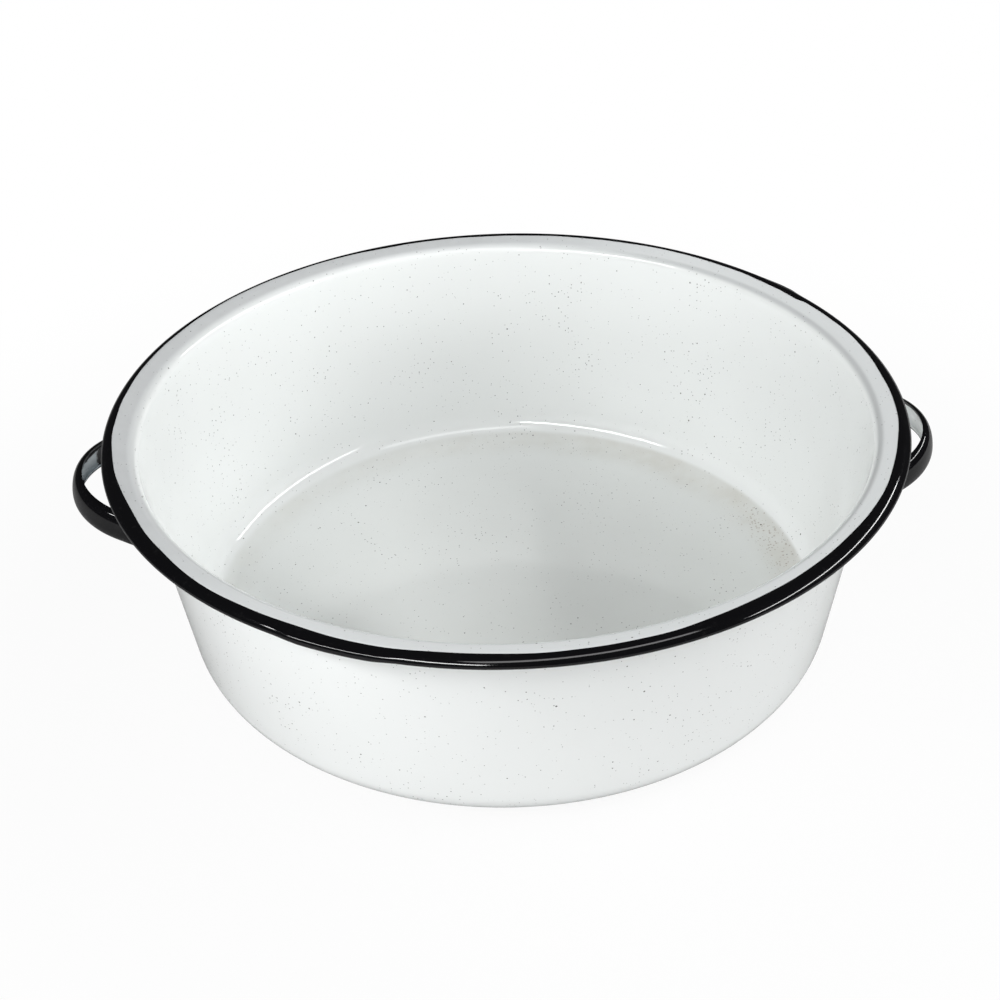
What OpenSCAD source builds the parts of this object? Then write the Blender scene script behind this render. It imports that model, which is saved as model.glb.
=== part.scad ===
// Round enamelled steel basin with a rolled black rim and two strap handles.
// Millimetres. The base stands on z = 0 and the basin's axis is Z; the handles lie along X.

/* [Basin] */
// Diameter across the rim, over its black coat
rim_d = 400; // [360:1:460]
// Height from the base to the top of the rim
basin_h = 122.8; // [100:0.1:160]
// Width of the brim, from the wall's slope carried up to the edge's shoulder, out to the rim
brim_w = 15.9; // [14:0.1:20]
// Slope of the wall, away from upright
wall_draft = 8; // [6:0.1:10]
// Outside radius between the wall and the base
corner_r = 18; // [8:0.5:30]
// Thickness of the steel sheet with its enamel
sheet_t = 1; // [0.8:0.1:1.6]

/* [Brim and rolled edge] */
// Slope of the brim above level
brim_slope = 13; // [11:1:25]
// Radius of the ridge where the wall turns out into the brim
ridge_r = 6; // [3:0.5:8]
// Radius over the top of the rolled edge, over its black coat
edge_top_r = 6; // [5:0.1:7]
// Radius round the shoulder of the rolled edge, over its black coat
edge_side_r = 1.65; // [1.4:0.05:2.2]
// Where the top passes into the shoulder, in degrees above level
shoulder_turn = 38; // [30:1:45]
// Radius along the underside of the rolled edge, over its black coat
edge_under_r = 5; // [4:0.1:6]
// Where the sheet's end is tucked in under the brim, in degrees from the edge's top
curl_turn = 285; // [270:1:290]
// Thickness of the black enamel coat on the rolled edge
coat_t = 0.2; // [0.15:0.05:0.4]
// Where the black coat starts, in degrees from the edge's top towards the bowl
coat_in = 10; // [0:1:11]
// Where the black coat ends, in degrees from the edge's top round the outside
coat_out = 205; // [175:1:215]

/* [Handles] */
// Drop from the rim's top to the strap's middle where it meets the wall
handle_drop = 36.6; // [32:0.1:50]
// How far the handle stands out from the wall
handle_reach = 40.5; // [36:0.5:52]
// How much the handle is turned up from level
handle_tilt = 10.5; // [0:0.5:15]
// Outside radius of the handle's bow
bow_r = 47.5; // [42:0.5:54]
// How far the bow turns on each side before the straight leg
bow_turn = 63; // [60:1:75]
// Height of the strap
strap_h = 15.3; // [11:0.1:19]
// Depth of the strap's hollow section
strap_d = 4.5; // [4:0.1:6]
// Thickness of the strap's steel with its enamel
strap_t = 1.6; // [1.2:0.1:2]
// Radius of the bend between a leg and its foot
foot_bend_r = 9; // [8:0.5:12]
// Length of the foot that is welded to the wall
foot_len = 11; // [8:0.5:20]

/* [Hidden] */

// Clearance left between pieces that seat on each other
seat_gap = 0.05;

// Basin values
cover = coat_t + seat_gap;
side_c = [
    rim_d / 2 - edge_side_r,
    basin_h - edge_top_r + (edge_top_r - edge_side_r) * sin(shoulder_turn)
];
base_r = rim_d / 2 - brim_w - side_c.y * tan(wall_draft);
brim_turn = 90 + brim_slope;
wall_turn = 180 - wall_draft;
wall_out = [cos(wall_draft), -sin(wall_draft)];
corner_c = [
    (base_r * wall_out.x - corner_r - corner_r * wall_out.y) / wall_out.x,
    corner_r
];

// Radius of the wall's outer face at height z
function wall_r(z) = base_r + z * tan(wall_draft);

// Point where the lines a.p = ad and b.p = bd cross
function crossing(a, ad, b, bd) =
    let (det = a.x * b.y - a.y * b.x)
    [(ad * b.y - bd * a.y) / det, (a.x * bd - b.x * ad) / det];

// Points on an arc from angle a0 to a1, about one every step degrees
function arc(c, r, a0, a1, step = 6) =
    let (n = max(2, ceil(abs(a1 - a0) / step)))
    [for (i = [0 : n]) let (a = a0 + (a1 - a0) * i / n) c + r * [cos(a), sin(a)]];

// The rolled edge is four arcs that run into each other: its top, its shoulder, its underside
// and the end tucked in. Each is [centre, radius of the sheet's outer face, start, end].
under_from = -80;
tuck_from = -130;
tuck_end = 90 - curl_turn;
function next_c(c, r, next_r, a) = c + (r - next_r) * [cos(a), sin(a)];
top_c = next_c(side_c, edge_side_r, edge_top_r, shoulder_turn);
under_c = next_c(side_c, edge_side_r, edge_under_r, under_from);
tuck_c = next_c(under_c, edge_under_r, edge_side_r, tuck_from);
edge_arcs = [
    [top_c, edge_top_r - cover, brim_turn, shoulder_turn],
    [side_c, edge_side_r - cover, shoulder_turn, under_from],
    [under_c, edge_under_r - cover, under_from, tuck_from],
    [tuck_c, edge_side_r - cover, tuck_from, tuck_end]
];

// Points along the edge between two angles, grow outside the sheet's outer face
function edge(grow, from, to) =
    let (parts = [for (a = edge_arcs) if (a[2] > to && a[3] < from)
        arc(a[0], a[1] + grow, min(a[2], from), max(a[3], to), 8)])
    [for (i = [0 : len(parts) - 1], j = [min(i, 1) : len(parts[i]) - 1]) parts[i][j]];
function backwards(v) = [for (i = [len(v) - 1 : -1 : 0]) v[i]];

// Centre of the ridge: ridge_r below the brim's top face and the wall's inner face
brim_up = [cos(brim_turn), sin(brim_turn)];
wall_in = -wall_out;
ridge_c = crossing(
    wall_in, wall_in * [base_r, 0] + sheet_t - ridge_r,
    brim_up, brim_up * top_c + edge_top_r - cover - ridge_r
);

// One sheet from the centre of the floor, up the wall, out along the brim and round the edge
module basin_shell() {
    under_side = concat(
        [[0, 0]],
        arc(corner_c, corner_r, -90, -wall_draft),
        arc(ridge_c, ridge_r - sheet_t, wall_turn, brim_turn),
        edge(-sheet_t, brim_turn, tuck_end)
    );
    upper_side = concat(
        backwards(edge(0, brim_turn, tuck_end)),
        arc(ridge_c, ridge_r, brim_turn, wall_turn),
        arc(corner_c, corner_r - sheet_t, -wall_draft, -90),
        [[0, sheet_t]]
    );
    color("whitesmoke")
        rotate_extrude($fn = 240)
            polygon(concat(under_side, upper_side));
}

// Black enamel coat that wraps the rolled edge
module rim_trim() {
    coat_start = 90 + coat_in;
    coat_end = 90 - coat_out;
    color([0.06, 0.06, 0.07])
        rotate_extrude($fn = 240)
            polygon(concat(
                edge(seat_gap, coat_start, coat_end),
                backwards(edge(cover, coat_start, coat_end))
            ));
}

// Handle values
handle_z = basin_h - handle_drop;

// The path is the strap's edge on the basin's side, seen from above: x is out
// from the basin's axis and y is along the wall. Half of it runs from the middle of the bow.
tab_r = wall_r(handle_z) + seat_gap;
bow_path_r = bow_r - strap_d;
bow_c = [wall_r(handle_z) + handle_reach - bow_r, 0];
leg_start = bow_c + bow_path_r * [cos(bow_turn), sin(bow_turn)];
leg_dir = [-sin(bow_turn), cos(bow_turn)];
leg_side = [cos(bow_turn), sin(bow_turn)];

// The leg ends where the foot's bend, set beside it, touches the wall's circle
bend_from = leg_start + foot_bend_r * leg_side;
bend_along = bend_from * leg_dir;
leg_len = -bend_along
    - sqrt(bend_along ^ 2 - bend_from * bend_from + (tab_r + foot_bend_r) ^ 2);
bend_c = bend_from + leg_len * leg_dir;
foot_turn = atan2(bend_c.y, bend_c.x);
foot_angle = foot_len / tab_r * 180 / PI;

// Steps along each stretch of half a strap, and across its section
bow_steps = 12;
leg_steps = 4;
bend_steps = 6;
foot_steps = 6;
section_steps = 14;

// Distance from the wall within which the hollow section is flattened into the foot
flat_from = 12;
// Share of the foot's length that its rounded end takes
foot_round = 0.45;

function smooth(x) = let (t = min(1, max(0, x))) t * t * (3 - 2 * t);
function mix(a, b, t) = a + (b - a) * t;

// A station is [point, outward direction, half height]
bow_part = [for (i = [0 : bow_steps])
    let (a = bow_turn * i / bow_steps, n = [cos(a), sin(a)])
    [bow_c + bow_path_r * n, n, strap_h / 2]
];
leg_part = [for (i = [1 : leg_steps])
    [leg_start + leg_len * i / leg_steps * leg_dir, leg_side, strap_h / 2]
];
bend_part = [for (i = [1 : bend_steps])
    let (a = mix(bow_turn, foot_turn, i / bend_steps), n = [cos(a), sin(a)])
    [bend_c - foot_bend_r * n, n, strap_h / 2]
];
foot_part = [for (i = [1 : foot_steps])
    let (
        t = i / foot_steps,
        a = foot_turn + foot_angle * t,
        n = [cos(a), sin(a)],
        past = max(0, (t - 1 + foot_round) / foot_round)
    )
    [tab_r * n, n, strap_h / 2 * sqrt(1 - 0.8 * past * past)]
];
half_strap = concat(bow_part, leg_part, bend_part, foot_part);
last = len(half_strap) - 1;
strap = [for (i = [-last : last])
    let (s = half_strap[abs(i)], m = i < 0 ? [1, -1] : [1, 1])
    [[s[0].x * m.x, s[0].y * m.y], [s[1].x * m.x, s[1].y * m.y], s[2]]
];

// Section of the strap as [outward, up] with up from -1 to 1. flat = 0 is the hollow bow,
// open towards the basin, and flat = 1 is the plain foot.
function bow_depth(up, depth) = depth * pow(max(0, 1 - pow(abs(up), 2.4)), 1 / 2.4);
function section(flat, half_h) =
    let (
        inner_h = mix(half_h - strap_t, half_h * 0.9, flat),
        out_face = [for (i = [0 : section_steps])
            let (up = -cos(180 * i / section_steps))
            [mix(bow_depth(up, strap_d), strap_t * min(1, 4 * sqrt(max(0, 1 - abs(up)))), flat),
             up * half_h]
        ],
        in_face = [for (i = [section_steps : -1 : 0])
            let (up = -cos(180 * i / section_steps))
            [mix(bow_depth(up, strap_d - strap_t), 0, flat), up * inner_h]
        ]
    )
    concat([for (i = [1 : section_steps - 1]) out_face[i]], [[0, half_h]], in_face, [[0, -half_h]]);

// Ring of points round the strap at one station
function ring(s) =
    let (
        off_wall = norm(s[0]) - tab_r,
        away = smooth(off_wall / flat_from),
        lean = mix(wall_draft, -handle_tilt, away),
        radial = s[0] / norm(s[0]),
        rise = off_wall * tan(handle_tilt) * away
    )
    [for (p = section(1 - away, s[2]))
        let (plan = s[0] + p.x * s[1] + p.y * sin(lean) * radial)
        [plan.x, plan.y, handle_z + rise + p.y * cos(lean)]
    ];

// Pressed strap handle on the +X side
module strap_handle() {
    rings = [for (s = strap) ring(s)];
    n = len(rings[0]);
    m = len(rings);
    sides = [for (j = [0 : m - 2], i = [0 : n - 1])
        let (a = j * n + i, b = j * n + (i + 1) % n)
        each [[a, b, b + n], [a, b + n, a + n]]
    ];
    first_end = [[for (i = [n - 1 : -1 : 0]) i]];
    last_end = [[for (i = [0 : n - 1]) (m - 1) * n + i]];
    polyhedron([for (r = rings) each r], concat(first_end, sides, last_end), convexity = 6);
}

module handle_right() {
    color([0.07, 0.07, 0.08])
        strap_handle();
}

module handle_left() {
    color([0.07, 0.07, 0.08])
        rotate([0, 0, 180])
            strap_handle();
}

basin_shell();
rim_trim();
handle_left();
handle_right();
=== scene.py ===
import math
import bpy
import bmesh
from mathutils import Matrix, Vector


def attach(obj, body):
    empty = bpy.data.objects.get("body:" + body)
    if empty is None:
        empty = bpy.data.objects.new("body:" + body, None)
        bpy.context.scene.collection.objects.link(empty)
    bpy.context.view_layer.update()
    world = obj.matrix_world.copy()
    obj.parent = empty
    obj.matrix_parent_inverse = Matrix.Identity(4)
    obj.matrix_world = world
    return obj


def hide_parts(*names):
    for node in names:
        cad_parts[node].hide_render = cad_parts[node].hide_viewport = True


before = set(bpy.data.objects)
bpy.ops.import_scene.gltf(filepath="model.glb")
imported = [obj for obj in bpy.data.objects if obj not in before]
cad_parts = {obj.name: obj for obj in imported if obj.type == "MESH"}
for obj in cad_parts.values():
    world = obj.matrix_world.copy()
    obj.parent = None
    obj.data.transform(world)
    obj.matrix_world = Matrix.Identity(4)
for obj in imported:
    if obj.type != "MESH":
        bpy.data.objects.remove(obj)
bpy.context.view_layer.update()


# Sizes shared by the pieces, in metres and degrees
basin = {
    "rimRadius": 0.2,
    "height": 0.1228,
    "brimWidth": 0.0159,
    "wallLean": 8,
    "cornerRadius": 0.018,
    "sheet": 0.001,
    "brimSlope": 13,
    "ridgeRadius": 0.006,
    "edgeTopRadius": 0.006,
    "edgeSideRadius": 0.00165,
    "edgeUnderRadius": 0.005,
    "shoulderTurn": 38,
    "underFrom": -80,
    "tuckFrom": -130,
    "tuckEnd": -195,
    "coat": 0.0002,
    "seat": 0.00005,
    # how finely the profile is drawn: radii on the floor, degrees on arcs, steps on straight parts
    "floorRadii": (0.02, 0.045, 0.07, 0.095, 0.12, 0.138),
    "cornerStep": 5,
    "wallSteps": 14,
    "ridgeStep": 6,
    "brimSteps": 3,
    "shoulderStep": 8,
    "curlStep": 9,
    "turnSteps": 288,
    "smoothBelow": 50,
}


def onCircle(centre, radius, degrees):
    a = math.radians(degrees)
    return (centre[0] + radius * math.cos(a), centre[1] + radius * math.sin(a))


def arcPoints(centre, radius, start, end, step):
    count = max(2, math.ceil(abs(end - start) / step))
    return [onCircle(centre, radius, start + (end - start) * i / count) for i in range(count + 1)]


def linePoints(a, b, count):
    # the points between a and b, without the two ends
    x, y = b[0] - a[0], b[1] - a[1]
    return [(a[0] + x * i / count, a[1] + y * i / count) for i in range(1, count)]


def smoothStep(value, low=0.0, high=1.0):
    t = min(1.0, max(0.0, (value - low) / (high - low)))
    return t * t * (3 - 2 * t)


def lineCrossing(a, aDistance, b, bDistance):
    # where two lines cross, each given by its normal and its distance from the origin
    det = a[0] * b[1] - a[1] * b[0]
    return ((aDistance * b[1] - bDistance * a[1]) / det, (a[0] * bDistance - b[0] * aDistance) / det)


cover = basin["coat"] + basin["seat"]
topRadius, sideRadius = basin["edgeTopRadius"], basin["edgeSideRadius"]
underRadius = basin["edgeUnderRadius"]
shoulder = basin["shoulderTurn"]
brimTurn = 90 + basin["brimSlope"]
wallTurn = 180 - basin["wallLean"]
sideHeight = basin["height"] - topRadius + (topRadius - sideRadius) * math.sin(math.radians(shoulder))
sideCentre = (basin["rimRadius"] - sideRadius, sideHeight)
topCentre = onCircle(sideCentre, sideRadius - topRadius, shoulder)
underCentre = onCircle(sideCentre, sideRadius - underRadius, basin["underFrom"])
tuckCentre = onCircle(underCentre, underRadius - sideRadius, basin["tuckFrom"])
# the rolled edge is four arcs: centre, radius of the sheet's outer face, first and last angle
edgeArcs = [
    (topCentre, topRadius - cover, brimTurn, shoulder),
    (sideCentre, sideRadius - cover, shoulder, basin["underFrom"]),
    (underCentre, underRadius - cover, basin["underFrom"], basin["tuckFrom"]),
    (tuckCentre, sideRadius - cover, basin["tuckFrom"], basin["tuckEnd"]),
]

lean = math.radians(basin["wallLean"])
baseRadius = basin["rimRadius"] - basin["brimWidth"] - sideHeight * math.tan(lean)
brimUp = (math.cos(math.radians(brimTurn)), math.sin(math.radians(brimTurn)))
ridgeCentre = lineCrossing(
    (-math.cos(lean), math.sin(lean)),
    -math.cos(lean) * baseRadius + basin["sheet"] - basin["ridgeRadius"],
    brimUp,
    brimUp[0] * topCentre[0] + brimUp[1] * topCentre[1] + topRadius - cover - basin["ridgeRadius"],
)
cornerCentre = (
    (baseRadius * math.cos(lean) - basin["cornerRadius"] + basin["cornerRadius"] * math.sin(lean))
    / math.cos(lean),
    basin["cornerRadius"],
)


# Tools for modelling by operators
mergeWithin = 0.000002


def nothingSelected():
    if bpy.context.object and bpy.context.object.mode != "OBJECT":
        bpy.ops.object.mode_set(mode="OBJECT")
    bpy.ops.object.select_all(action="DESELECT")


def newestPiece(name):
    piece = bpy.context.active_object
    piece.name = name
    piece.data.name = name
    return piece


def drawAndSpin(name, points, steps):
    # one vertex is drawn out along the profile and the line is spun round the basin's axis;
    # each vertex keeps the number of its point in "step"
    nothingSelected()
    bpy.ops.mesh.primitive_plane_add(size=0.001, location=(points[0][0], 0, points[0][1]))
    piece = newestPiece(name)
    bpy.ops.object.mode_set(mode="EDIT")
    bpy.ops.mesh.select_mode(type="VERT")
    bpy.ops.mesh.select_all(action="SELECT")
    bpy.ops.mesh.merge(type="CENTER")
    for a, b in zip(points, points[1:]):
        move = (b[0] - a[0], 0, b[1] - a[1])
        bpy.ops.mesh.extrude_vertices_move(TRANSFORM_OT_translate={"value": move})
    mesh = bmesh.from_edit_mesh(piece.data)
    step = mesh.verts.layers.float.new("step")
    for number, vertex in enumerate(mesh.verts):
        vertex[step] = number
    bmesh.update_edit_mesh(piece.data)
    bpy.ops.mesh.select_all(action="SELECT")
    bpy.ops.mesh.spin(
        steps=steps, angle=math.tau, center=(0, 0, 0), axis=(0, 0, 1), use_auto_merge=True)
    bpy.ops.mesh.select_all(action="SELECT")
    bpy.ops.mesh.remove_doubles(threshold=mergeWithin)
    bpy.ops.mesh.normals_make_consistent(inside=False)
    bpy.ops.object.mode_set(mode="OBJECT")
    return piece


def placeInMesh(piece):
    nothingSelected()
    piece.select_set(True)
    bpy.context.view_layer.objects.active = piece
    bpy.ops.object.transform_apply(location=True, rotation=True, scale=True)


def addModifier(piece, kind, **settings):
    modifier = piece.modifiers.new(kind.lower(), kind)
    for key, value in settings.items():
        setattr(modifier, key, value)
    nothingSelected()
    piece.select_set(True)
    bpy.context.view_layer.objects.active = piece
    bpy.ops.object.modifier_apply(modifier=modifier.name)


def shadeSmooth(piece, degrees):
    nothingSelected()
    piece.select_set(True)
    bpy.context.view_layer.objects.active = piece
    bpy.ops.object.shade_smooth_by_angle(angle=math.radians(degrees))


# Basin: one sheet, drawn from the middle of the floor to the end of the curl
print("basin")
floorPoints = [(r, basin["sheet"]) for r in (0.0, *basin["floorRadii"])]
cornerInside = basin["cornerRadius"] - basin["sheet"]
cornerPoints = arcPoints(cornerCentre, cornerInside, -90, -basin["wallLean"], basin["cornerStep"])
ridgePoints = arcPoints(ridgeCentre, basin["ridgeRadius"], wallTurn, brimTurn, basin["ridgeStep"])
curlPoints = arcPoints(*edgeArcs[0], basin["shoulderStep"])
for arc in edgeArcs[1:]:
    curlPoints += arcPoints(*arc, basin["curlStep"])[1:]
basinProfile = (
    floorPoints
    + cornerPoints
    + linePoints(cornerPoints[-1], ridgePoints[0], basin["wallSteps"])
    + ridgePoints
    + linePoints(ridgePoints[-1], curlPoints[0], basin["brimSteps"])
    + curlPoints
)
basinShell = drawAndSpin("basinShell", basinProfile, basin["turnSteps"])
placeInMesh(basinShell)
# the sheet's drawn face looks up and inwards before it gets its thickness
floorFace = min(basinShell.data.polygons, key=lambda f: f.center.xy.length)
if floorFace.normal.z < 0:
    basinShell.data.flip_normals()
addModifier(
    basinShell, "SOLIDIFY", thickness=basin["sheet"], offset=-1, use_even_offset=True, use_rim=True)
shadeSmooth(basinShell, basin["smoothBelow"])


# Rim coat: black enamel over the rolled edge, with a border that wanders as a dipped one does
print("rim coat")
rimCoat = {
    "outerTurn": -116,
    "outerWander": 4,
    "outSteps": 56,
    "inSteps": 14,
    "turnSteps": 576,
    # the skin's thickness at its lip and what it gains over the meniscus, as shares of the coat
    "lipShare": 0.1,
    "swellShare": 0.83,
    "meniscus": 0.0006,
    "innerGap": 0.00004,
    "smoothBelow": 60,
    # drips that swell the coat: where each starts and ends, in degrees, and where on the edge
    "drips": [(-123.6, -119.2, -110.5, -106.5), (29.5, 32.5, 34, 40)],
    "dripReach": 0.0007,
    "dripTurn": -15,
    "dripSpread": (0.0012, 0.004),
    # the inner border, measured on the photo: azimuth, and the way the edge faces where it starts
    "border": [
        (-180, 92), (-168, 100), (-158, 116), (-147, 104), (-137, 91), (-121, 96), (-110, 87),
        (-98, 97), (-86, 91), (-76, 92), (-62, 110), (-46, 116), (-30, 108), (-22, 109), (-8, 100),
        (0, 101), (17, 94), (27, 98), (29.5, 111), (34, 110), (44, 101), (58, 98), (75, 101),
        (105, 100), (120, 91), (135, 83), (150, 87), (172, 88),
    ],
}


def ripple(azimuth, times, offset=0):
    return math.sin(math.radians(times * azimuth + offset))


def borderTurn(azimuth):
    turns = rimCoat["border"] + [(180, rimCoat["border"][0][1])]
    for (a, fromTurn), (b, toTurn) in zip(turns, turns[1:]):
        if azimuth <= b:
            wander = 1.2 * ripple(azimuth, 17, 40) + 0.7 * ripple(azimuth, 41)
            return fromTurn + (toTurn - fromTurn) * smoothStep(azimuth, a, b) + wander


def edgeDistance(turn):
    # how far along the sheet, from the end of the brim, the edge faces that way
    total = 0.0
    for centre, radius, start, end in edgeArcs:
        total += radius * math.radians(start - max(turn, end))
        if turn >= end:
            break
    return total


def edgePoint(distance, rise):
    # a point on the brim or the rolled edge, rise above the sheet
    if distance < 0:
        start = onCircle(topCentre, edgeArcs[0][1] + rise, brimTurn)
        return (start[0] + brimUp[1] * distance, start[1] - brimUp[0] * distance)
    for centre, radius, start, end in edgeArcs:
        length = radius * math.radians(start - end)
        if distance <= length:
            break
        distance -= length
    return onCircle(centre, radius + rise, start - math.degrees(distance / radius))


def dripSwell(azimuth):
    return max(
        smoothStep(azimuth, a, b) * (1 - smoothStep(azimuth, c, d)) for a, b, c, d in rimCoat["drips"])


# the skin is drawn evenly from brim to underside and back, and then its border is moved
coatLine = [(i / rimCoat["outSteps"], True) for i in range(rimCoat["outSteps"] + 1)]
coatLine += [(i / rimCoat["inSteps"], False) for i in range(rimCoat["inSteps"], -1, -1)]
drawnLength = edgeDistance(rimCoat["outerTurn"])
coatProfile = [
    edgePoint(drawnLength * share, cover if outside else basin["seat"]) for share, outside in coatLine]
rimTrim = drawAndSpin("rimCoat", coatProfile + [coatProfile[0]], rimCoat["turnSteps"])
placeInMesh(rimTrim)
steps = [round(item.value) % len(coatLine) for item in rimTrim.data.attributes["step"].data]
dripAt = edgeDistance(rimCoat["dripTurn"])
for vertex, step in zip(rimTrim.data.vertices, steps):
    share, outside = coatLine[step]
    azimuth = math.degrees(math.atan2(vertex.co.y, vertex.co.x))
    start = edgeDistance(borderTurn(azimuth))
    end = edgeDistance(rimCoat["outerTurn"] + rimCoat["outerWander"] * ripple(azimuth, 5, 10))
    distance = start + (end - start) * share
    rise = rimCoat["innerGap"]
    if outside:
        edge = smoothStep(min(distance - start, end - distance), -0.0001, rimCoat["meniscus"])
        rise = basin["seat"] + basin["coat"] * (rimCoat["lipShare"] + rimCoat["swellShare"] * edge)
        near = 1 - smoothStep(abs(distance - dripAt), *rimCoat["dripSpread"])
        rise += rimCoat["dripReach"] * dripSwell(azimuth) * near
    radius, level = edgePoint(distance, rise)
    direction = vertex.co.xy.normalized()
    vertex.co = (direction.x * radius, direction.y * radius, level)
shadeSmooth(rimTrim, rimCoat["smoothBelow"])


# Handles: a hollow strap drawn along its path, one section after another
print("handles")
handle = {
    "drop": 0.0366,
    "reach": 0.0405,
    "tilt": 10.5,
    "bowRadius": 0.0475,
    "bowTurn": 63,
    "height": 0.0153,
    "depth": 0.0045,
    "thickness": 0.0016,
    "footBend": 0.009,
    "footLength": 0.011,
    "flatFrom": 0.012,
    "footRound": 0.45,
    "crown": 2.4,
    "edgeRound": 0.0004,
    # steps along half the bow, a leg, a bend and a foot, and across the strap
    "steps": (24, 10, 12, 14),
    "sectionSteps": 18,
    "smoothBelow": 60,
}
handleHeight = basin["height"] - handle["drop"]
wallAtHandle = baseRadius + handleHeight * math.tan(lean)
footRadius = wallAtHandle + basin["seat"]


def strapStations():
    # plan of half the strap: place of its inner face, outward direction, half height
    turn = math.radians(handle["bowTurn"])
    bowPath = handle["bowRadius"] - handle["depth"]
    bowCentre = Vector((wallAtHandle + handle["reach"] - handle["bowRadius"], 0))
    legSide = Vector((math.cos(turn), math.sin(turn)))
    legAlong = Vector((-math.sin(turn), math.cos(turn)))
    legStart = bowCentre + bowPath * legSide
    bendFrom = legStart + handle["footBend"] * legSide
    along = bendFrom.dot(legAlong)
    bendReach = footRadius + handle["footBend"]
    legLength = -along - math.sqrt(along ** 2 - bendFrom.dot(bendFrom) + bendReach ** 2)
    bendCentre = bendFrom + legLength * legAlong
    footTurn = math.atan2(bendCentre.y, bendCentre.x)
    half = handle["height"] / 2
    bowSteps, legSteps, bendSteps, footSteps = handle["steps"]
    stations = []
    for i in range(bowSteps + 1):
        a = turn * i / bowSteps
        n = Vector((math.cos(a), math.sin(a)))
        stations.append((bowCentre + bowPath * n, n, half))
    for i in range(1, legSteps + 1):
        stations.append((legStart + legLength * i / legSteps * legAlong, legSide, half))
    for i in range(1, bendSteps + 1):
        a = turn + (footTurn - turn) * i / bendSteps
        n = Vector((math.cos(a), math.sin(a)))
        stations.append((bendCentre - handle["footBend"] * n, n, half))
    for i in range(1, footSteps + 1):
        t = i / footSteps
        a = footTurn + handle["footLength"] / footRadius * t
        n = Vector((math.cos(a), math.sin(a)))
        past = max(0, (t - 1 + handle["footRound"]) / handle["footRound"])
        stations.append((footRadius * n, n, half * math.sqrt(1 - 0.8 * past * past)))
    mirrored = [(Vector((p.x, -p.y)), Vector((n.x, -n.y)), h) for p, n, h in stations[:0:-1]]
    return mirrored + stations


def bowDepth(up, depth):
    return depth * max(0.0, 1 - abs(up) ** handle["crown"]) ** (1 / handle["crown"])


def strapSection(flat, half):
    # closed line round the strap as (outward, up, 1 in the hollow and 0 outside)
    steps = handle["sectionSteps"]
    thick = handle["thickness"]
    innerHalf = (half - thick) * (1 - flat) + half * 0.9 * flat
    outer, inner = [], []
    for i in range(steps + 1):
        up = -math.cos(math.pi * i / steps)
        plain = thick * min(1, 4 * math.sqrt(max(0, 1 - abs(up))))
        outer.append((bowDepth(up, handle["depth"]) * (1 - flat) + plain * flat, up * half, 0))
        inner.append((bowDepth(up, handle["depth"] - thick) * (1 - flat), up * innerHalf, 1))
    return outer + inner[::-1]


def strapRing(station):
    place, outward, half = station
    offWall = place.length - footRadius
    away = smoothStep(offWall / handle["flatFrom"])
    tilt = lean * (1 - away) - math.radians(handle["tilt"]) * away
    radial = place.normalized()
    rise = offWall * math.tan(math.radians(handle["tilt"])) * away
    ring = []
    for x, y, side in strapSection(1 - away, half):
        plan = place + x * outward + y * math.sin(tilt) * radial
        ring.append((Vector((plan.x, plan.y, handleHeight + rise + y * math.cos(tilt))), side, y))
    return ring


def drawStrap(name):
    # a ring of vertices takes the first section, and is extruded from each section to the next
    rings = [strapRing(station) for station in strapStations()]
    sides = len(rings[0])
    middle = len(rings) // 2
    lengths = [0.0]
    for a, b in zip(rings, rings[1:]):
        lengths.append(lengths[-1] + (b[0][0] - a[0][0]).length)
    nothingSelected()
    bpy.ops.mesh.primitive_circle_add(vertices=sides, radius=handle["height"] / 2, fill_type="NOTHING")
    piece = newestPiece(name)
    for key in ("hollow", "along", "across"):
        piece.data.attributes.new(key, "FLOAT", "POINT")
    bpy.ops.object.mode_set(mode="EDIT")
    bpy.ops.mesh.select_mode(type="VERT")
    bpy.ops.mesh.select_all(action="SELECT")
    order = list(range(sides))
    for number, ring in enumerate(rings):
        if number:
            bpy.ops.mesh.extrude_region_move(TRANSFORM_OT_translate={"value": (0, 0, 0)})
        mesh = bmesh.from_edit_mesh(piece.data)
        mesh.verts.ensure_lookup_table()
        if number:
            earlier = {index: i for i, index in enumerate(order)}
            for v in [v for v in mesh.verts if v.select]:
                beside = [e.other_vert(v).index for e in v.link_edges]
                last = next(index for index in beside if index in earlier)
                order[earlier[last]] = v.index
        layers = [mesh.verts.layers.float[key] for key in ("hollow", "along", "across")]
        for index, (point, side, y) in zip(order, ring):
            v = mesh.verts[index]
            v.co = point
            for layer, value in zip(layers, (side, lengths[number] - lengths[middle], y)):
                v[layer] = value
        bmesh.update_edit_mesh(piece.data)
    bpy.ops.mesh.select_all(action="SELECT")
    bpy.ops.mesh.fill_holes(sides=0)
    bpy.ops.mesh.select_all(action="SELECT")
    bpy.ops.mesh.normals_make_consistent(inside=False)
    bpy.ops.object.mode_set(mode="OBJECT")
    placeInMesh(piece)
    addModifier(
        piece, "BEVEL", width=handle["edgeRound"], segments=3, limit_method="ANGLE",
        angle_limit=math.radians(48))
    shadeSmooth(piece, handle["smoothBelow"])
    return piece


handleRight = drawStrap("handleRight")
handleLeft = handleRight.copy()
handleLeft.data = handleRight.data.copy()
handleLeft.name = handleLeft.data.name = "handleLeft"
bpy.context.scene.collection.objects.link(handleLeft)
handleLeft.data.transform(Matrix.Rotation(math.pi, 4, "Z"))


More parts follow.
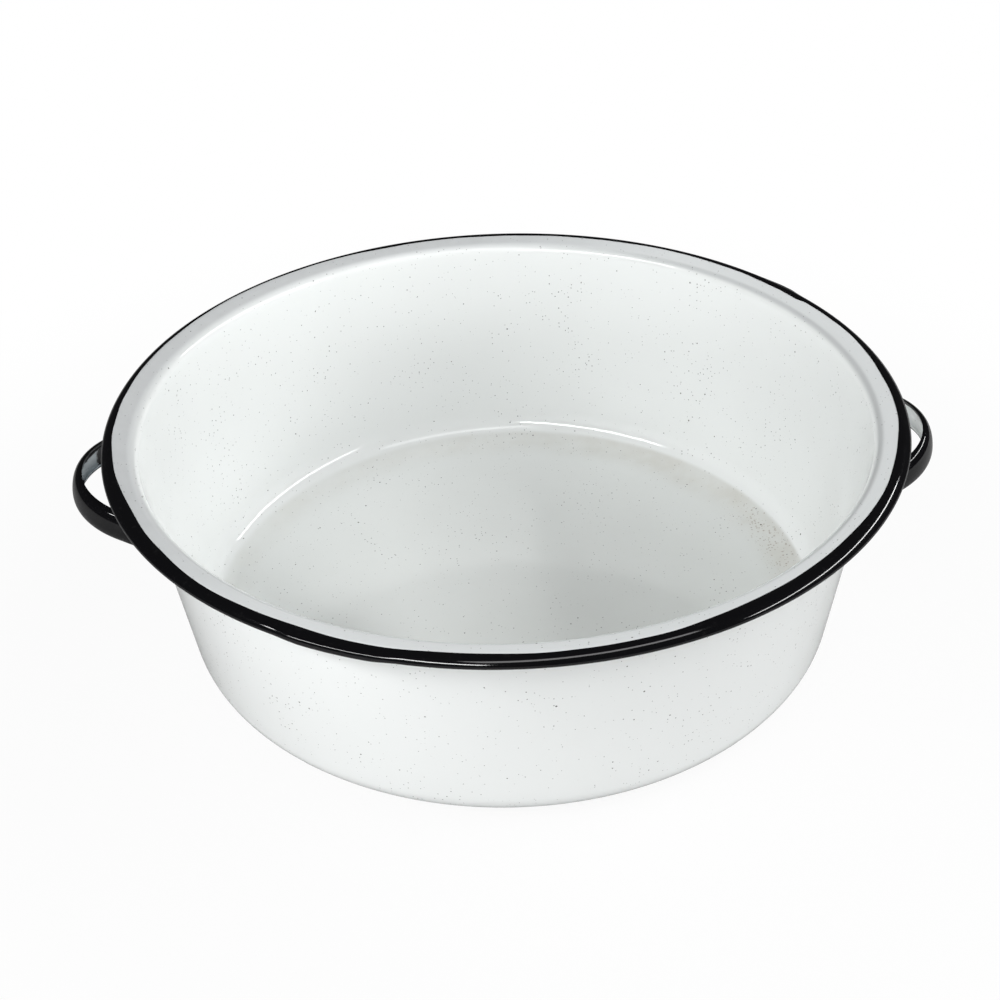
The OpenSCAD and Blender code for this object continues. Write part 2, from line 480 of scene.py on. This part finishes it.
# Materials
class Wire:
    # one socket of a material; sums on it add Math nodes
    def __init__(self, tree, socket):
        self.tree = tree
        self.socket = socket

    def node(self, kind, settings=None, inputs=None, output=0):
        made = self.tree.nodes.new("ShaderNode" + kind)
        for key, value in (settings or {}).items():
            setattr(made, key, value)
        for key, value in (inputs or {}).items():
            if isinstance(value, Wire):
                self.tree.links.new(value.socket, made.inputs[key])
            else:
                made.inputs[key].default_value = value
        return Wire(self.tree, made.outputs[output])

    def math(self, operation, *values):
        return self.node("Math", {"operation": operation}, dict(enumerate(values)))

    def __add__(self, other):
        return self.math("ADD", self, other)

    def __sub__(self, other):
        return self.math("SUBTRACT", self, other)

    def __rsub__(self, other):
        return self.math("SUBTRACT", other, self)

    def __mul__(self, other):
        return self.math("MULTIPLY", self, other)

    __radd__ = __add__
    __rmul__ = __mul__

    def between(self, low, high):
        # 0 at low and 1 at high, smooth between them
        settings = {"interpolation_type": "SMOOTHSTEP"}
        return self.node("MapRange", settings, {0: self, 1: low, 2: high})

    def larger(self, other):
        return self.math("MAXIMUM", self, other)

    def tint(self, colour, other):
        # colour where this is 0, other where it is 1
        inputs = {0: self, 6: colour if isinstance(colour, Wire) else (*colour, 1)}
        inputs[7] = other if isinstance(other, Wire) else (*other, 1)
        return self.node("Mix", {"data_type": "RGBA"}, inputs, 2)

    def towards(self, azimuth):
        # 1 on the basin's side that faces that azimuth, -1 on the opposite one
        flat = self.node("VectorMath", {"operation": "MULTIPLY"}, {0: self, 1: (1, 1, 0)})
        flat = self.node("VectorMath", {"operation": "NORMALIZE"}, {0: flat})
        way = (math.cos(math.radians(azimuth)), math.sin(math.radians(azimuth)), 0)
        return self.node("VectorMath", {"operation": "DOT_PRODUCT"}, {0: flat, 1: way}, "Value")

    def moved(self, offset):
        return self.node("Mapping", None, {"Vector": self, "Location": offset})

    def noise(self, scale, detail=2.0, roughness=0.5, offset=(0, 0, 0)):
        where = self.moved(offset) if any(offset) else self
        inputs = {"Vector": where, "Scale": scale, "Detail": detail, "Roughness": roughness}
        return self.node("TexNoise", None, inputs)

    def specks(self, scale, size, share, crowd, offset=(0, 0, 0)):
        # round dots of up to size metres, on that share of the cells, larger where there is a crowd
        inputs = {"Vector": self.moved(offset), "Scale": scale, "Randomness": 1.0}
        made = self.node("TexVoronoi", {"feature": "F1"}, inputs)
        cell = Wire(self.tree, made.socket.node.outputs["Color"])
        chance = self.node("SeparateColor", None, {0: cell})
        reach = chance.between(1 - share, 1.0) * crowd * (size * scale)
        return (reach - made).between(0.0, 0.12 * size * scale)


def newFinish(name):
    finish = bpy.data.materials.new(name)
    finish.use_nodes = True
    tree = finish.node_tree
    spot = Wire(tree, tree.nodes.new("ShaderNodeTexCoord").outputs["Object"])
    return finish, tree.nodes["Principled BSDF"], spot


def feed(shader, socket, wire):
    wire.tree.links.new(wire.socket, shader.inputs[socket])


def feedHeight(shader, height):
    # height in metres
    bump = height.node("Bump", None, {"Height": height, "Distance": 1.0, "Strength": 1.0})
    feed(shader, "Normal", bump)


enamel = {
    # the white; the floor's grey, partly wear and partly painted shade; the painted shade on the brim,
    # the ridge's crest and one side; and the degrees that the shaded sides face
    "white": (0.812, 0.832, 0.826),
    "wornAndShaded": (0.61, 0.633, 0.612),
    "floorShadeFacing": -62,
    # painted shade: greys for the brim, the ridge's crest and one side
    "brimShade": (0.675, 0.70, 0.705),
    "crestShade": (0.50, 0.52, 0.525),
    "sideShade": (0.53, 0.545, 0.55),
    "sideShadeFacing": 145,
    # heights and radii between which those fade in or out
    "floorLevels": (0.0028, 0.0046),
    "brimLevels": (0.1172, 0.119),
    "brimShadeFrom": (0.1845, 0.188),
    "crestFrom": (0.1832, 0.1850),
    "crestTo": (0.1856, 0.1878),
    "sideShadeFrom": (0.1848, 0.1885),
    # black, and its fine grain
    "black": (0.003, 0.003, 0.0036),
    "graze": (0.012, 0.012, 0.013),
    "speck": (0.045, 0.042, 0.04),
    # dots: cells in a metre, largest size and share of the cells
    "fineSpecks": (520, 0.00036, 0.8),
    "boldSpecks": (230, 0.00052, 0.5),
    "rustSpots": (640, 0.0004, 0.95),
    # marks of use, with the radii between which they fade in
    "stain": (0.50, 0.47, 0.40),
    "rust": (0.30, 0.25, 0.20),
    "rustSide": 11,
    "stainRing": (0.136, 0.154),
    "scuff": (0.20, 0.20, 0.195),
    "scuffRing": (0.128, 0.144),
}


def whiteLayer(spot):
    # speckled white enamel: its colour, and its height in metres
    cloud = spot.noise(9, 3).between(0.3, 0.7)
    colour = cloud.tint(tuple(c * 0.975 for c in enamel["white"]), enamel["white"])
    crowd = 0.75 + spot.noise(30, 2, offset=(0.1, 0.4, 0.2)).between(0.45, 0.75) * 0.5
    fine = spot.specks(*enamel["fineSpecks"], crowd)
    bold = spot.specks(*enamel["boldSpecks"], crowd, (0.013, 0.007, 0.003))
    speck = (fine * 0.7).larger(bold * 0.85)
    wave = spot.noise(38, 2) * 0.00005 + spot.noise(11, 1, offset=(0.3, 0.1, 0.2)) * 0.0001
    return colour, speck, wave - speck * 0.00005


def whiteEnamel():
    finish, shader, spot = newFinish("whiteEnamel")
    colour, speck, height = whiteLayer(spot)
    flat = spot.node("VectorMath", {"operation": "MULTIPLY"}, {0: spot, 1: (1, 1, 0)})
    radius = flat.node("VectorMath", {"operation": "LENGTH"}, {0: flat}, "Value")
    level = spot.node("SeparateXYZ", None, {0: spot}, "Z")
    # the floor is greyed partly by wear and partly by painted shade, with the painted shade darkest on
    # one side, and it has a stained ring and rust spots
    bottom = 1 - (level - spot.towards(5) * 0.0011).between(*enamel["floorLevels"])
    # painted shade: the floor grows darker towards that side and outwards
    floorShade = spot.towards(enamel["floorShadeFacing"]) * radius * 1.9
    wornAndShaded = bottom * (0.52 + floorShade + (spot.noise(14, 4, 0.6) - 0.5) * 0.35)
    colour = wornAndShaded.tint(colour, enamel["wornAndShaded"])
    ring = bottom * radius.between(*enamel["stainRing"])
    patchy = 0.7 + spot.noise(34, 4, 0.65).between(0.35, 0.75) * 1.4
    stained = ring * ((0.14 + spot.towards(0) * 0.06) * patchy)
    colour = stained.tint(colour, enamel["stain"])
    rusty = ring * spot.towards(enamel["rustSide"]).between(0.92, 0.985) * 1.6
    rust = spot.specks(*enamel["rustSpots"], rusty, (0.4, 0.1, 0.7)) * 0.55
    colour = rust.tint(colour, enamel["rust"])
    # the base is scuffed where it stands
    scuffed = (1 - level.between(0.0003, 0.0007)) * radius.between(*enamel["scuffRing"])
    scuffed = scuffed * spot.noise(70, 5, 0.7).between(0.42, 0.6) * 0.7
    colour = scuffed.tint(colour, enamel["scuff"])
    # painted shade: the brim and the ridge's crest are greyed, most of all on one side
    above = level.between(*enamel["brimLevels"])
    sideShade = spot.towards(enamel["sideShadeFacing"]).between(-0.1, 0.65)
    brimShade = above * radius.between(*enamel["brimShadeFrom"]) * (0.74 + sideShade * 0.2)
    colour = brimShade.tint(colour, enamel["brimShade"])
    crestShade = radius.between(*enamel["crestFrom"]) * (1 - radius.between(*enamel["crestTo"]))
    colour = (above * crestShade * (0.68 - sideShade * 0.3)).tint(colour, enamel["crestShade"])
    # painted shade: the brim's outer part greys most on that side
    brim = above * radius.between(*enamel["sideShadeFrom"])
    sideShade = brim * sideShade * (0.9 + (spot.noise(90, 3) - 0.5) * 0.5)
    colour = sideShade.tint(colour, enamel["sideShade"])
    feed(shader, "Base Color", speck.tint(colour, enamel["speck"]))
    feed(shader, "Roughness", 0.07 + spot.noise(60, 3) * 0.06)
    feedHeight(shader, height)
    return finish


def blackLayer(spot):
    # glossy black enamel: its colour, and its height in metres
    wave = spot.noise(60, 2) * 0.00005 + spot.noise(210, 2) * 0.000012
    grain = spot.noise(420, 2).between(0.62, 0.74)
    return (grain * 0.5).tint(enamel["black"], enamel["graze"]), wave


def blackEnamel():
    finish, shader, spot = newFinish("blackRimEnamel")
    colour, height = blackLayer(spot)
    feed(shader, "Base Color", colour)
    feed(shader, "Roughness", 0.05 + spot.noise(90, 3) * 0.06)
    feedHeight(shader, height)
    return finish


# where the handles' hollows are bare, in metres along the strap from its middle and up across it
bareHollow = {
    "patchStart": (-0.0245, -0.0225),
    "patchEnd": (-0.0085, -0.005),
    "patchTop": (-0.0056, -0.0046),
    "patchLow": (0.36, 0.41, 0.45),
    "patchHigh": (0.66, 0.71, 0.74),
    "feetFrom": (0.058, 0.0595),
    "blackFrom": (0.0042, 0.005),
}


def handleEnamel(name, leftPatch):
    # black outside; the hollow is bare white, or black with one pale patch on the far leg
    finish, shader, spot = newFinish(name)
    whiteColour, speck, whiteHeight = whiteLayer(spot)
    blackColour, blackHeight = blackLayer(spot)
    hollow = spot.node("Attribute", {"attribute_name": "hollow"}, None, "Fac")
    along = spot.node("Attribute", {"attribute_name": "along"}, None, "Fac")
    across = spot.node("Attribute", {"attribute_name": "across"}, None, "Fac")
    patchy = spot.noise(120, 3, offset=(0.2, 0.2, 0)) - 0.5
    bare = (hollow + patchy * 0.5).between(0.45, 0.6)
    if leftPatch:
        along = along + patchy * 0.006
        bare = bare * along.between(*bareHollow["patchStart"])
        bare = bare * (1 - along.between(*bareHollow["patchEnd"]))
        bare = bare * (1 - (across + along * 0.32 + patchy * 0.003).between(*bareHollow["patchTop"]))
        high = across.between(-0.0065, 0.0)
        whiteColour = high.tint(bareHollow["patchLow"], bareHollow["patchHigh"])
    else:
        feet = along.math("ABSOLUTE", along)
        bare = bare * (1 - (feet + patchy * 0.01).between(*bareHollow["feetFrom"]))
        bare = bare * (1 - (across + patchy * 0.002).between(*bareHollow["blackFrom"]))
    whiteColour = speck.tint(whiteColour, enamel["speck"])
    feed(shader, "Base Color", bare.tint(blackColour, whiteColour))
    feed(shader, "Roughness", 0.05 + spot.noise(90, 3) * 0.06)
    height = whiteHeight * bare + blackHeight * (1 - bare) + (1 - bare) * 0.0001
    feedHeight(shader, height)
    return finish


def dress(piece, node, finish):
    piece.data.materials.clear()
    piece.data.materials.append(finish)
    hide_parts(node)
    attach(piece, "root")


print("finishes")
dress(basinShell, "basin_shell", whiteEnamel())
dress(rimTrim, "rim_trim", blackEnamel())
dress(handleRight, "handle_right", handleEnamel("rightHandleEnamel", False))
dress(handleLeft, "handle_left", handleEnamel("leftHandleEnamel", True))


# Studio: a white table, a grey room and soft lamps
print("studio")
studio = {
    "tableSize": 6.0,
    # the table as it is lit, as the enamel mirrors it, and how far it is plain white to the camera
    "tableColour": (0.62, 0.62, 0.62),
    "tableMirrored": (0.34, 0.34, 0.34),
    "tableGlow": 0.93,
    "glowWhole": (0.22, 0.5),
    "room": 0.03,
    "aimHeight": 0.1,
}


def makeTable():
    nothingSelected()
    bpy.ops.mesh.primitive_plane_add(size=studio["tableSize"], location=(0, 0, 0))
    table = newestPiece("table")
    finish = bpy.data.materials.new("tableWhite")
    finish.use_nodes = True
    tree = finish.node_tree
    shader = tree.nodes["Principled BSDF"]
    shader.inputs["Roughness"].default_value = 0.9
    rays = tree.nodes.new("ShaderNodeLightPath").outputs
    mirrored = Wire(tree, rays["Is Glossy Ray"])
    feed(shader, "Base Color", mirrored.tint(studio["tableColour"], studio["tableMirrored"]))
    path = Wire(tree, rays["Is Camera Ray"])
    spot = Wire(tree, tree.nodes.new("ShaderNodeTexCoord").outputs["Object"])
    away = spot.node("VectorMath", {"operation": "LENGTH"}, {0: spot}, "Value")
    whole = away.between(*studio["glowWhole"])
    seen = path * (studio["tableGlow"] + whole * (1 - studio["tableGlow"]))
    glow = path.node("Emission", None, {"Color": (1, 1, 1, 1), "Strength": 1.0})
    mixed = path.node("MixShader", None, {0: seen, 1: Wire(tree, shader.outputs[0]), 2: glow})
    tree.links.new(mixed.socket, tree.nodes["Material Output"].inputs["Surface"])
    table.data.materials.append(finish)


def makeRoom():
    room = bpy.data.worlds.new("greyRoom")
    bpy.context.scene.world = room
    room.use_nodes = True
    room.node_tree.nodes["Background"].inputs["Color"].default_value = (1, 1, 1, 1)
    room.node_tree.nodes["Background"].inputs["Strength"].default_value = studio["room"]


lamps = {
    # name: degrees from the camera's side towards the right, degrees up, distance, width, height,
    # power in watts, and whether the enamel mirrors it
    "frontLeft": (-41, 42, 1.5, 1.35, 0.11, 12.8, True),
    "right": (93, 33, 1.5, 1.7, 0.07, 8.4, True),
    "overhead": (24, 65, 1.6, 1.2, 0.3, 4.5, True),
    "lowLeft": (-75, 24, 1.6, 1.1, 0.5, 8, False),
    "lowRight": (95, 23, 1.6, 1.4, 0.45, 16, False),
    "lowFront": (-5, 5, 1.6, 1.4, 0.3, 8, False),
}


def makeLamps():
    for name, (side, up, distance, width, height, power, mirrored) in lamps.items():
        light = bpy.data.lights.new(name, "AREA")
        light.shape = "RECTANGLE"
        light.size, light.size_y = width, height
        light.energy = power
        lamp = bpy.data.objects.new(name, light)
        lamp.visible_glossy = mirrored
        bpy.context.scene.collection.objects.link(lamp)
        side, up = math.radians(side), math.radians(up)
        aim = Vector((0, 0, studio["aimHeight"]))
        out, rise = distance * math.cos(up), distance * math.sin(up)
        lamp.location = aim + Vector((out * math.sin(side), -out * math.cos(side), rise))
        toAim = aim - lamp.location
        lamp.rotation_euler = toAim.to_track_quat("-Z", "Y").to_euler()


photoView = {
    "place": (-0.039198, -0.701116, 0.54908),
    "turn": (55.34161, 1.49156, -3.92454),
    "lens": 58.784,
}


def makeCamera():
    view = bpy.data.cameras.new("photoView")
    view.lens = photoView["lens"]
    view.sensor_width = 36
    view.clip_start = 0.01
    camera = bpy.data.objects.new("photoView", view)
    bpy.context.scene.collection.objects.link(camera)
    camera.location = photoView["place"]
    camera.rotation_euler = [math.radians(a) for a in photoView["turn"]]
    bpy.context.scene.camera = camera


makeTable()
makeRoom()
makeLamps()
makeCamera()
bpy.context.scene.view_settings.view_transform = "Standard"
